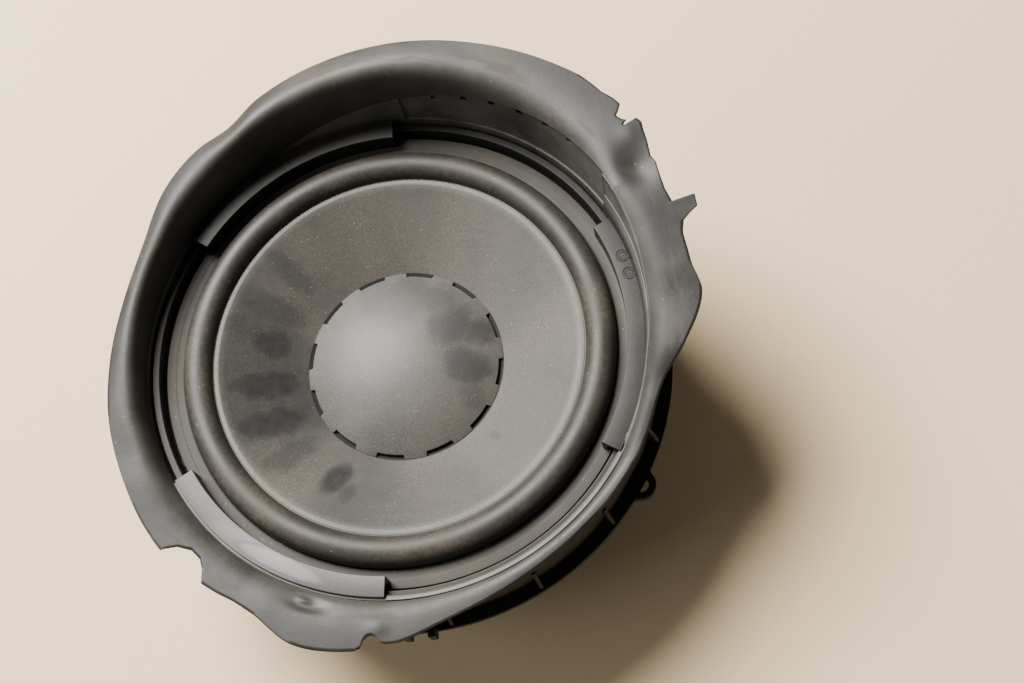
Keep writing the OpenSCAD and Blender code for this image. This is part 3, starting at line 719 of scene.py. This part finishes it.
def index_tree():
    tree = bpy.data.node_groups.new("indexed round the axis", "GeometryNodeTree")
    tree.interface.new_socket("Geometry", in_out="OUTPUT", socket_type="NodeSocketGeometry")
    kinds = {"Template": "Geometry", "Count": "Int", "Start": "Float", "Step": "Float", "Finish": "Material"}
    keys = {label: tree.interface.new_socket(label, in_out="INPUT", socket_type="NodeSocket" + kind).identifier
            for label, kind in kinds.items()}
    given, result, spots, index, turn, angles, copies, solid, paint = (tree.nodes.new(kind) for kind in (
        "NodeGroupInput", "NodeGroupOutput", "GeometryNodePoints", "GeometryNodeInputIndex", "ShaderNodeMath",
        "ShaderNodeCombineXYZ", "GeometryNodeInstanceOnPoints", "GeometryNodeRealizeInstances",
        "GeometryNodeSetMaterial"))
    turn.operation = "MULTIPLY_ADD"
    for source, exit_key, target, entry_key in (
            (given, "Count", spots, "Count"), (index, 0, turn, 0), (given, "Step", turn, 1),
            (given, "Start", turn, 2), (turn, 0, angles, "Z"), (spots, 0, copies, "Points"),
            (given, "Template", copies, "Instance"), (angles, 0, copies, "Rotation"), (copies, 0, solid, 0),
            (solid, 0, paint, "Geometry"), (given, "Finish", paint, "Material"), (paint, 0, result, 0)):
        tree.links.new(source.outputs[exit_key], target.inputs[entry_key])
    return tree, keys


INDEX_TREE, INDEX_KEYS = index_tree()


def indexed(name, template, count, start, step, material):
    def build(draft):
        turner = draft.modifiers.new("indexed", "NODES")
        turner.node_group = INDEX_TREE
        for label, value in (("Count", count), ("Start", radians(start)), ("Step", radians(step)),
                             ("Finish", material)):
            turner[INDEX_KEYS[label]] = value
    return baked(name, template, build)


def cut_by(name, mesh, cutter):
    tool = shown(bpy.data.objects.new(name + "_cutter", cutter))

    def build(draft):
        saw = draft.modifiers.new("cut", "BOOLEAN")
        saw.operation, saw.solver, saw.object = "DIFFERENCE", "EXACT", tool
    shaped = baked(name, mesh, build)
    bpy.data.objects.remove(tool)
    return shaped


def cutting_block(angle, low, high):
    """A plain block from corner low to corner high, in mm, turned round the axis by angle degrees."""
    spots = [tuple((low, high)[k >> axis & 1][axis] * MM for axis in range(3)) for k in range(8)]
    block = plain_mesh("cutting_block", spots, [(0, 2, 3, 1), (4, 5, 7, 6), (0, 1, 5, 4), (2, 6, 7, 3), (0, 4, 6, 2),
                                                (1, 3, 7, 5)])
    block.transform(Matrix.Rotation(radians(angle), 4, "Z"))
    return block


# %% [markdown]
# The adapter is one large moulding. Its flange, guide ring and outer wall share one section, which changes
# with the angle, because two tilted cuts give the wall its high side and a shallow recess is sunk into that
# side. Three arcs hold the woofer down. Slits beside the hooks and the lip's six anchor holes are cut out
# afterwards, as slides in the mould would do.

# %% Adapter body and arcs
GUIDE_R, GUIDE_T, GUIDE_TOP = 99.1, 2.8, 29.0
FLANGE_R, FLANGE_T = 111.4, 3.0
RECESS = (RECESS_END + 0.1, 88.0)
RECESS_D = 0.8
ADAPTER_STEPS = 720


def adapter_section(angle):
    turn = (angle + 14) % 360 - 14
    top = wall_rim(angle)
    inside = WALL_R - WALL_T
    above = inside + (RECESS_D if RECESS[0] < turn < RECESS[1] else 0)
    step_z = min(31.5, top - 0.9)
    return rounded([(GUIDE_R, 0), (104.2, 0), (104.2, 1.5), (107.2, 1.5), (107.2, 0), (FLANGE_R, 0),
                    (FLANGE_R, FLANGE_T), (WALL_R, FLANGE_T), (WALL_R, top), (above, top), (above, step_z),
                    (inside, step_z - 0.1), (inside, FLANGE_T), (GUIDE_R + GUIDE_T, FLANGE_T),
                    (GUIDE_R + GUIDE_T, GUIDE_TOP), (GUIDE_R, GUIDE_TOP)], 0.35, 2)


body_angles = sorted([i * 360 / ADAPTER_STEPS + 0.13 for i in range(ADAPTER_STEPS)]
                     + [edge + side * 0.03 for edge in RECESS for side in (-1, 1)])
body_mesh = swept("adapter_body", adapter_section, body_angles)

cutters = []
for i in range(6):
    angle = 43.5 + 7.2 * i
    top = wall_rim(angle)
    cutters.append(cutting_block(angle, (WALL_R - 5, -1.5, top - 4.2), (WALL_R + 5, 1.5, top - 1.2)))
for i in range(6):
    for side in (-1, 1):
        cutters.append(cutting_block(30 + 60 * i + side * 4.2, (GUIDE_R - 1, -0.6, 3.5),
                                     (GUIDE_R + GUIDE_T + 1, 0.6, 19)))
body_mesh = cut_by("adapter_cut", body_mesh, joined("cutters", *cutters))

ARC_SPAN, ARC_TOP = 57.8, 33.0
arc_outline = rounded([(94.1, 24.1), (96.3, 24.1), (96.3, 30.5), (99.15, 30.5), (99.15, 28.6), (101.85, 28.6),
                       (101.85, 30.5), (102.2, 30.5), (102.2, ARC_TOP), (94.1, ARC_TOP)], 0.45)
arc_mesh = turned_mesh("arc", arc_outline, 720, -ARC_SPAN / 2, ARC_SPAN)
hook_mesh = turned_mesh("hook", rounded([(GUIDE_R + 1, 16.9), (96.5, 16.9), (96.5, 15.5), (GUIDE_R - 0.05, 10),
                                         (GUIDE_R + 1, 10)], 0.3), 720, -3.5, 7)
rib_mesh = slab("rib", [(105, 2), (110.4, 2), (110.4, 4), (106.8, 17), (105, 17)], 1.6)
tab_mesh = slab("tab", [(110.4, 0.5), (114.4, 0.5), (114.4, 8.5), (110.4, 8.5)], 3.2, 0.5)


def ear_reach(angle):
    """Distance from an ear's hole to the outline of the web that joins the ear to the wall."""
    ray = Vector((cos(radians(angle)), sin(radians(angle))))
    corners = [Vector(c) for c in ((-6, -14), (2, -5.8), (2, 5.8), (-6, 14))]
    best = 5.6
    for a, b in zip(corners, corners[1:] + corners[:1]):
        run = b - a
        cross = ray.x * run.y - ray.y * run.x
        if abs(cross) > 1e-9:
            far = (a.x * run.y - a.y * run.x) / cross
            share = (a.x * ray.y - a.y * ray.x) / cross
            if far > 0 and -1e-6 <= share <= 1 + 1e-6:
                best = max(best, far)
    return best


EAR_R, EAR_HOLE, HOLE_CIRCLE = 6.2, 3.3, 110.5
boss = turned_mesh("boss", rounded([(EAR_HOLE, 0), (EAR_R, 0), (EAR_R, 4), (EAR_HOLE, 4)], 0.4), 64)
web = swept("web", lambda a: rounded([(5.2, 0.03), (ear_reach(a), 0.03), (ear_reach(a), 2.94), (5.2, 2.94)],
                                     0.3), [i * 3.75 for i in range(96)])
ear_mesh = joined("ear", boss, web)
ear_mesh.transform(Matrix.Translation((HOLE_CIRCLE * MM, 0, 0)))
# Two small round dials near one end of an arc, as moulders stamp beside a date; they stay blank
dial_ring = turned_mesh("dial", rounded([(2.3, 32.9), (2.8, 32.9), (2.8, 33.3), (2.3, 33.3)], 0.1, 1), 40)
dial_tick = slab("tick", [(1.2, 32.9), (2.0, 32.9), (2.0, 33.3), (1.2, 33.3)], 0.35, 0.05)
dial_hub = turned_mesh("hub", [(0, 32.9), (0.5, 32.9), (0.5, 33.12), (0.4, 33.15), (0, 33.15)], 24)
dial_mesh = joined("dial", dial_ring, dial_hub, indexed("ticks", dial_tick, 12, 0, 30, adapter_plastic))
dial_mesh.transform(Matrix.Translation((99.0 * MM, 0, 0)))
# On the low side a sloping foot inside the wall closes the groove between the wall and the guide ring. Its top is
# never under FOOT_LOW, or FOOT_LOW_LATER past the angle FOOT_CHANGE
FOOT_FROM, FOOT_SPAN, FOOT_R, FOOT_TOP = 211.3, 179.9, 101.2, 46
FOOT_LOW, FOOT_LOW_LATER, FOOT_CHANGE = 31.4, 32.2, 269


def foot_section(angle):
    """Foot at one angle; on the low side it ends level with the lip's root."""
    top = max(FOOT_LOW if angle < FOOT_CHANGE else FOOT_LOW_LATER, min(FOOT_TOP, wall_rim(angle) - 0.2))
    low = ARC_TOP + 0.1 if top > ARC_TOP + 1 else top - 0.5
    outer = WALL_R - WALL_T - 0.03
    return rounded([(FOOT_R, low - 1.8), (outer, low - 1.8), (outer, top), (outer - 0.5, top), (FOOT_R, low)],
                   0.2, 2)


foot_mesh = swept("foot", foot_section, [FOOT_FROM + FOOT_SPAN * i / 340 for i in range(341)], closed=False)
adapter_mesh = joined("adapter", body_mesh, foot_mesh, *(
    indexed(name, template, count, start, step, adapter_plastic) for name, template, count, start, step in (
        ("dials", dial_mesh, 2, 14.3, 4.7), ("arcs", arc_mesh, 3, 0, 120), ("hooks", hook_mesh, 6, 30, 60),
        ("ribs", rib_mesh, 18, 0, 20), ("tabs", tab_mesh, 2, 271, 5), ("ears", ear_mesh, 3, 90, 120))))
adapter = finished("adapter_moulding", adapter_mesh, adapter_plastic, "housing",
                   ["adapter_ring"], sharp=12)

# %% [markdown]
# The basket is a glass-filled moulding behind the cone: a rim, six spokes with a rib each, a ledge for the
# spider and a pot whose floor is screwed to the motor. Each part is swept only over the angles where it
# exists, so the windows need no cutting.

# %% Basket
rim_mesh = turned_mesh("rim", rounded([(87.6, 22), (87.6, 17), (85.9, 14.4), (85.6, 12.6), (89.5, 17), (98.9, 17),
                                       (98.9, 18), (97.8, 18), (97.8, 22)], 0.4))
ledge_mesh = turned_mesh("ledge", rounded([(49, -10), (49, -12), (57, -12), (57, -13), (59.5, -13), (59.5, -11),
                                           (62.0, -8.6), (61.0, -6.9), (57, -10)], 0.35), 192)
pot_mesh = turned_mesh("pot", rounded([(28, -18), (28, -21), (59.5, -21), (59.5, -17), (57, -17), (57, -18)],
                                      0.5), 192)
post_mesh = turned_mesh("post", rounded([(57, -17.4), (59.5, -17.4), (59.5, -12.8), (57, -12.8)], 0.3), 720,
                        -14, 28)


def spoke_outline(foot):
    """Wall between two windows, from a foot radius to the rim."""
    inner = lambda r: -10 + (r - 57) * 25 / 29.5
    outer = lambda r: -11 + (r - 59.5) * 28 / 30
    return rounded([(foot, inner(foot)), (foot + 1.2, outer(foot + 1.2)), (89.0, outer(89.0)),
                    (86.4, inner(86.4))], 0.3)


spoke_mesh = turned_mesh("spoke", spoke_outline(60.6), 720, -10, 20)
south_spoke = turned_mesh("south_spoke", spoke_outline(65.8), 720, 260, 20)
ridge_outline = [(58.5, -21), (63.5, -17), (93, 14), (93, 18), (88.5, 18), (58.5, -10)]
ridge_mesh = slab("ridge", ridge_outline, 2.5, 0.4)
south_ridge = slab("south_ridge", [(70.5, -3.2), (75.6, -3.2), (93, 14), (93, 18), (88.5, 18)], 2.5, 0.4)
south_ridge.transform(Matrix.Rotation(radians(270), 4, "Z"))
basket_mesh = joined("basket", rim_mesh, ledge_mesh, pot_mesh, south_spoke, south_ridge,
                     indexed("posts", post_mesh, 6, 30, 60, basket_plastic),
                     indexed("spokes", spoke_mesh, 5, -30, 60, basket_plastic),
                     indexed("ridges", ridge_mesh, 5, -30, 60, basket_plastic))
basket = finished("basket_moulding", basket_mesh, basket_plastic, "housing", ["basket"],
                  sharp=12)

# %% [markdown]
# The connector shroud and its two blades have the right shape in the frame, apart from the small radius on
# every edge. Their meshes are copied, joined up and bevelled.

# %% Connector
def soft_edged(node, name, material, width=0.25):
    def merge(shell):
        bmesh.ops.remove_doubles(shell, verts=shell.verts, dist=2e-6)
        bmesh.ops.dissolve_limit(shell, angle_limit=radians(1), verts=shell.verts, edges=shell.edges)

    def build(draft):
        bevel = draft.modifiers.new("edge", "BEVEL")
        bevel.width, bevel.segments, bevel.limit_method = width * MM, 2, "ANGLE"
        bevel.angle_limit = radians(35)
    mesh = worked(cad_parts[node].data.copy(), merge)
    return finished(name, baked(name, mesh, build), material, "housing", [node])


shroud = soft_edged("terminal_block", "terminal_shroud", block_nylon)
blades = soft_edged("terminal_blades", "terminal_tongues", tin, 0.12)

# %% [markdown]
# The motor is a ferrite ring between two steel plates. The ground rims of the ferrite have a clear bevel,
# and the steel a smaller one. The four screws have a six-lobed socket.

# %% Motor
magnet = finished("magnet_ring", turned_mesh("magnet", rounded(
    [(30, -45), (55, -45), (55, -27), (30, -27)], 1.0, 2), 192), ferrite, "housing",
                  ["magnet"])
yoke = finished("yoke_forging", turned_mesh("yoke", rounded(
    [(8, -50), (11, -50), (11, -51), (50, -51), (50, -45), (24, -45), (24, -21), (8, -21)], 0.7), 192), steel,
    "housing", ["yoke"])
plate = finished("front_plate", turned_mesh("plate", rounded(
    [(27, -27), (50, -27), (50, -21), (27, -21)], 0.5), 192), steel, "housing", ["top_plate"])


def screw_section(angle):
    lobe = 1.55 + 0.32 * cos(6 * radians(angle))
    return [(0, -17.2), (lobe - 0.1, -17.2), (lobe, -17.1), (lobe, -16.1), (lobe + 0.25, -15.85), (2.6, -15.84),
            (3.3, -16.2), (3.7, -16.9), (3.8, -17.6), (3.75, -17.95), (2.0, -17.98), (2.0, -25.4), (0, -25.4)]


screw_mesh = swept("screw", screw_section, [i * 3.75 for i in range(96)])
screw_mesh.transform(Matrix.Translation((40 * MM, 0, 0)))
screws = finished("motor_screw_set", indexed("screws", screw_mesh, 4, 45, 90, steel), steel, "housing",
                  ["motor_screws"])

# %% [markdown]
# Behind the cone, the spider keeps the coil centred. It is corrugated cloth that bends like the surround.
# The coil is copper wire in close turns on an amber tube. Two braided leads hang in a slack loop between
# the blades and the cone.

# %% Spider, coil and leads
def follow_radius(piece, inner_body, outer_body):
    """Ties a round soft piece to two bodies; each point's share depends on its distance from the axis."""
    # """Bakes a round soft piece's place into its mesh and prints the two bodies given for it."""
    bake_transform(piece)
    print(piece.name, "bends from", inner_body, "to", outer_body)


SPIDER_MID, SPIDER_WAVE, SPIDER_T = -9.6, 1.4, 0.55
spider_line = [(25.85, SPIDER_MID)] + [
    (27.3 + t * 21.0, SPIDER_MID + SPIDER_WAVE * sin(TAU * 5 * t)) for t in np.linspace(0, 1, 101)] + [
    (52, SPIDER_MID), (56.75, SPIDER_MID)]
spider = finished("spider_cloth_disc", turned_mesh("spider", [(r, z + SPIDER_T / 2) for r, z in spider_line]
                  + [(r, z - SPIDER_T / 2) for r, z in reversed(spider_line)], 240), cloth, None,
                  ["spider"], sharp=60)
follow_radius(spider, "diaphragm", "housing")

WIRE_PITCH, WIRE_TURNS = 0.45, 31
wire_outline = [(25.52, -30.95), *(
    (26.05 + 0.22 * sin(a), -30.97 + (k + 0.5) * WIRE_PITCH - WIRE_PITCH / 2 * cos(a))
    for k in range(WIRE_TURNS) for a in np.linspace(0.25, pi - 0.25, 5)), (25.52, -17.05)]
coil = finished("coil_turns", turned_mesh("coil", wire_outline, 192), wire, "diaphragm",
                ["coil_winding"], sharp=80)

LEAD_X, LEAD_R = 5.0, 0.85
LEAD = [(-57.8, -4.6), (-57.4, -3.2), (-56, -2.2), (-54, -2), (-51.5, -2.6), (-49, -3.4), (-46.5, -3.8),
        (-44, -3.6), (-41.6, -2.8), (-39.6, -1.6), (-38.2, -0.4), (-37, 1.6)]


def lead_mesh(side):
    curve = bpy.data.curves.new("lead", "CURVE")
    curve.dimensions, curve.bevel_depth, curve.bevel_resolution, curve.use_fill_caps = "3D", LEAD_R * MM, 4, True
    line = curve.splines.new("NURBS")
    line.points.add(len(LEAD) - 1)
    for point, (y, z) in zip(line.points, LEAD):
        point.co = (side * LEAD_X * MM, y * MM, z * MM, 1)
    line.order_u, line.use_endpoint_u, line.resolution_u = 4, True, 10
    return baked("lead", curve)


leads = finished("braided_leads", joined("leads", lead_mesh(-1), lead_mesh(1)), braid, None,
                 ["tinsel_leads"], sharp=60)
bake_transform(leads)

# %% [markdown]
# The landing ring is die-cut board. The surround is a half roll of rubber that has to bend as the cone
# moves.

# %% Landing ring and surround
CONE_R, CONE_Z = 77.0, 26.0
ROLL_MID, ROLL_R, ROLL_T = 83.5, 6.15, 1.0
board_low, board_high = (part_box("front_gasket")[k].z / MM for k in (0, 1))
landing = finished("landing_ring", turned_mesh("landing", rounded(
    [(89.9, board_low), (97.6, board_low), (97.6, board_high), (94.0, board_high), (93.4, board_high - 0.25),
     (91.0, board_high - 0.25), (89.9, board_high - 0.5)], 0.35)), board, "housing",
                   ["front_gasket"])


def roll_outline():
    """Half roll with a flange each side, drawn along its top and back along its underside."""
    def arc(inset, turns):
        return [(ROLL_MID + (ROLL_R - inset) * cos(a), CONE_Z - 0.6 + (ROLL_R - 0.2 - inset) * sin(a))
                for a in turns]
    return ([(75.5, 24.25), (75.5, 24.85), (77.2, 24.88)] + arc(0, np.linspace(pi, 0, 25))
            + [(89.75, 23.4), (90.2, 22.65), (96.2, 22.6), (96.2, 22.1), (87.9, 22.1), (88.2, 23.2)]
            + arc(ROLL_T, np.linspace(0, pi, 25)) + [(78.3, 24.25)])


surround = finished("surround_roll", turned_mesh("roll", roll_outline()), roll_rubber, None,
                    ["surround"], sharp=60)
follow_radius(surround, "diaphragm", "housing")

# %% [markdown]
# The cone is a thin shell with a small flat rim, and a thin line of pale glue has squeezed out along its
# seam. The dust cap is a shallow dome whose edge sits on the cone in twelve short tabs; between them it is
# cut back into narrow slots, and the cone under the slots is painted nearly black as painted shade.

# %% Cone, seam and dust cap
CONE_SLOPE = tan(radians(29))
CONE_T = 0.8
NECK_R = 25.55


def cone_z(radius):
    return CONE_Z - (CONE_R - 2 - radius) * CONE_SLOPE


def cone_outline():
    drop = CONE_T / cos(atan(CONE_SLOPE))
    upper = [(r, cone_z(r)) for r in np.linspace(NECK_R + 0.3, CONE_R - 2.3, 24)]
    lower = [(r, cone_z(r) - drop) for r in np.linspace(CONE_R - 2.3, NECK_R + 1.2, 24)]
    return ([(NECK_R, -8.0), (NECK_R, cone_z(NECK_R) - 0.3)] + upper
            + [(CONE_R - 1.6, CONE_Z - 0.02), (CONE_R - 0.25, CONE_Z), (CONE_R, CONE_Z - 0.25),
               (CONE_R, CONE_Z - CONE_T), (CONE_R - 1.7, CONE_Z - CONE_T)] + lower + [(NECK_R + 1, -8.0)])


cone = finished("cone_shell", turned_mesh("cone", cone_outline()), cone_plastic, "diaphragm",
                ["cone"])
seam = finished("seam_bead", turned_mesh("seam", rounded(
    [(76.95, 25.35), (77.45, 25.35), (77.45, 25.75), (76.95, 25.95)], 0.2)), glue, "diaphragm")

CAP_R, CAP_RISE, CAP_T = 41.5, 9.0, 0.7
CAP_LIP, SLOT_CUT = 0.85, 1.8


def cap_section(edge):
    """Half outline of the dome from the axis to an edge, top then underside, as (radius, height)."""
    base = cone_z(CAP_R) + 0.3
    ball = (CAP_R ** 2 + CAP_RISE ** 2) / (2 * CAP_RISE)
    dome = lambda r: base + CAP_RISE - ball + sqrt(ball * ball - r * r)
    radii = list(np.linspace(0, edge - 0.5, 22))
    top = [(r, dome(r)) for r in radii] + [(edge - 0.12, dome(edge) + 0.02)]
    return top + [(edge, dome(edge) - CAP_LIP)] + [(r, dome(r) - CAP_T) for r in reversed(radii)]


def cap_mesh():
    """The dome is turned in steps that fall on the ends of the slots, with its edge cut back between tabs."""
    pitch = 360 / CAP_TABS
    edges = {}
    for k in range(CAP_TABS):
        mid = SLOT_FROM + k * pitch
        for u in (-0.5, -0.47, -0.3, -0.1, 0.1, 0.3, 0.47, 0.5):
            edges[mid + u * SLOT_SPAN] = CAP_R - (SLOT_CUT if abs(u) < 0.49 else 0.0)
        for u in (0.15, 0.35, 0.5, 0.65, 0.85):
            edges[mid + SLOT_SPAN / 2 + u * (pitch - SLOT_SPAN)] = CAP_R
    return swept("cap", lambda angle: cap_section(edges[angle]), list(edges))


cap = finished("dust_cap_dome", cap_mesh(), cap_plastic, "diaphragm", ["dust_cap"])

# %% [markdown]
# The other pieces keep their shape from the frame and only need their finish.

# %% Finishes for the pieces that stay
KEPT = {"flange_seal": seal_rubber, "voice_coil_former": amber_film, "lead_eyelets": brass,
        "shorting_ring": copper, "vent_screen": mesh_steel}
for node, material in KEPT.items():
    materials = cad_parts[node].data.materials
    materials.clear()
    materials.append(material)
print("kept from the frame:", ", ".join(KEPT))

# %% [markdown]
# The floor is a plain pale sheet. A large soft light stands at the upper left, as a window would, so that
# the shadow falls broad and soft to the lower right, and a weak pale sky fills the rest.

# %% Floor and light
FLOOR_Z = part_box("yoke")[0].z - 0.02 * MM
FLOOR_HALF = 3.0


def floor_finish():
    finish = Finish("pale_floor")
    fibres = finish.noise(0.004, 4, 0.7)
    cloud = finish.noise(0.3, 3)
    base = finish.mix(cloud, (0.87, 0.665, 0.40), (0.92, 0.73, 0.48))
    return finish.done(finish.mix(fibres * 0.15, base, (0.66, 0.50, 0.30)), 0.9, finish.bump(fibres, 0.0002))


floor_mesh = plain_mesh("floor", [(x * FLOOR_HALF, y * FLOOR_HALF, FLOOR_Z) for x, y in (
    (-1, -1), (1, -1), (1, 1), (-1, 1))], [(0, 1, 2, 3)])
floor_mesh.materials.append(floor_finish())
floor = shown(bpy.data.objects.new("floor", floor_mesh))


def soft_light(name, place, size, power, colour):
    """A round soft lamp that faces the part."""
    data = bpy.data.lights.new(name, "AREA")
    data.shape, data.size, data.energy, data.color = "DISK", size, power, colour
    light = shown(bpy.data.objects.new(name, data))
    light.matrix_world = Matrix.Translation(place) @ aim(-Vector(place).normalized(), Vector((0, 1, 0.1)))
    print("light", name, power, "W")


soft_light("window", (-0.62, 0.67, 1.2), 0.95, 80, (1.0, 0.98, 0.94))
soft_light("side_window", (-1.2, -0.45, 1.0), 0.9, 5, (1.0, 0.99, 0.97))
world = bpy.data.worlds.new("room")
world.use_nodes = True
sky = world.node_tree.nodes["Background"].inputs
sky["Color"].default_value = (1.0, 0.96, 0.9, 1)
sky["Strength"].default_value = 0.10
bpy.context.scene.world = world
